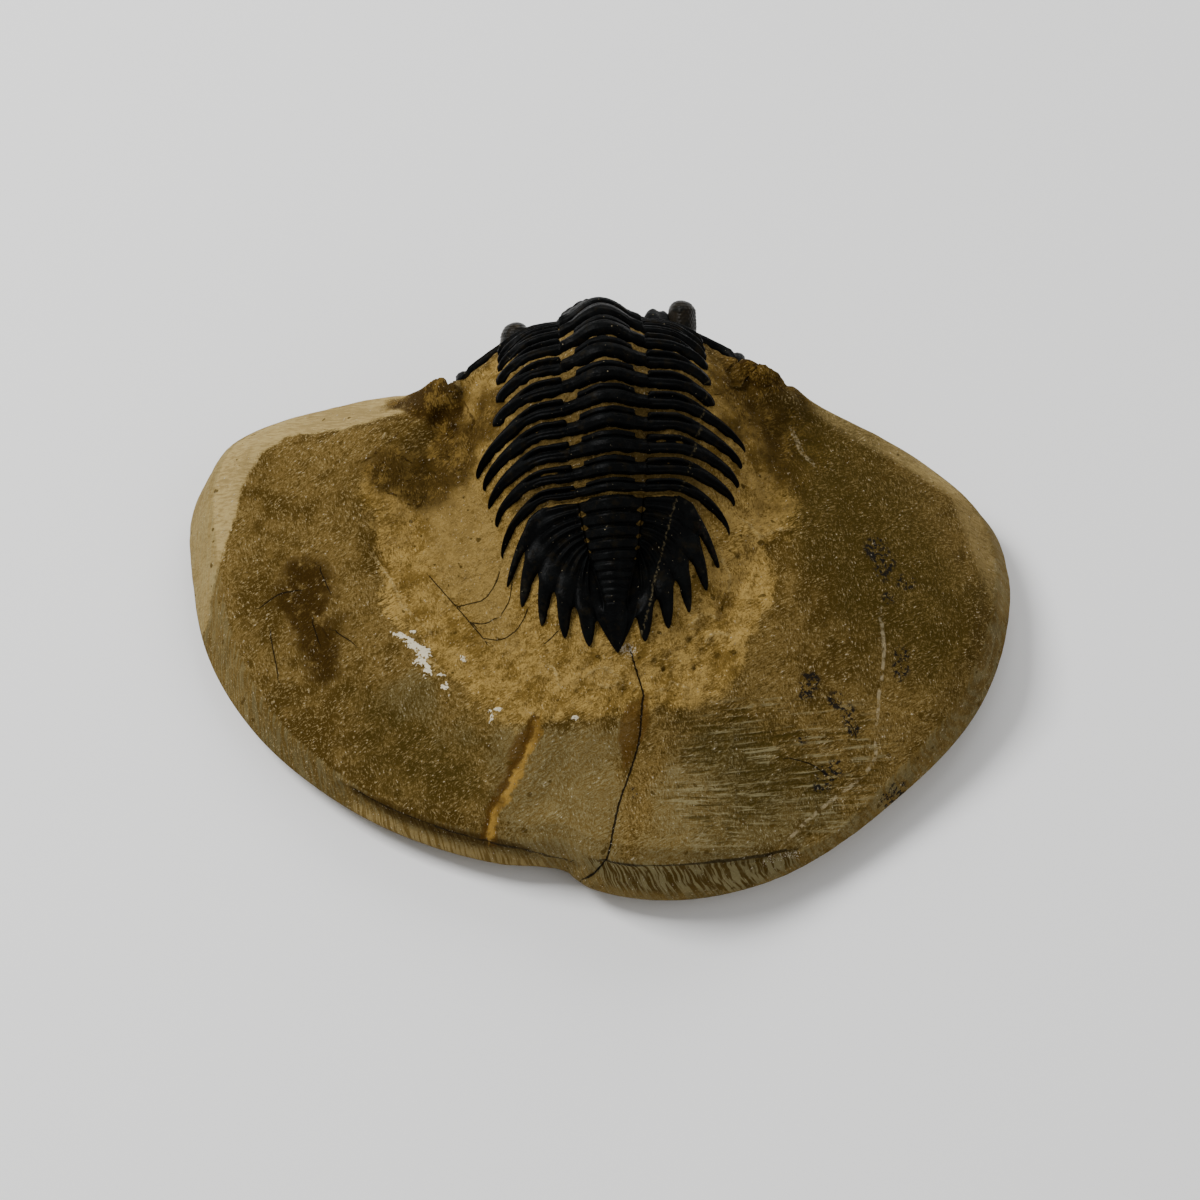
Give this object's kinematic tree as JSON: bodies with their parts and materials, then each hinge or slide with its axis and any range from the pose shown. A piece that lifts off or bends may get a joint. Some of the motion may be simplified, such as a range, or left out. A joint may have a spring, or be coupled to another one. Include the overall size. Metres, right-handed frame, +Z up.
{
  "type": "spiny trilobite fossil on its matrix",
  "caption": "Spiny trilobite arched over a ground block of limestone matrix, with tall eyes, curved side spines and a spined tail fan.",
  "frame": {"origin": "centre of the bounding box's bottom, on the surface the stone rests on", "axes": "+X across the stone, its longest way, towards the fossil's right side as seen from the tail; +Y from the tail towards the head; +Z up"},
  "size_m": [0.0947, 0.074, 0.0316],
  "materials": {
    "limestone": "ground matt stone with ochre and grey-brown patches",
    "fossil_shell": "near-black satin fossil shell"
  },
  "bodies": {
    "root": {"matrix_stone": "limestone", "cephalon": "fossil_shell", "thorax_segment_01": "fossil_shell", "thorax_segment_02": "fossil_shell", "thorax_segment_03": "fossil_shell", "thorax_segment_04": "fossil_shell", "thorax_segment_05": "fossil_shell", "thorax_segment_06": "fossil_shell", "thorax_segment_07": "fossil_shell", "thorax_segment_08": "fossil_shell", "thorax_segment_09": "fossil_shell", "thorax_segment_10": "fossil_shell", "thorax_segment_11": "fossil_shell", "pygidium": "fossil_shell"}
  },
  "joints": []
}
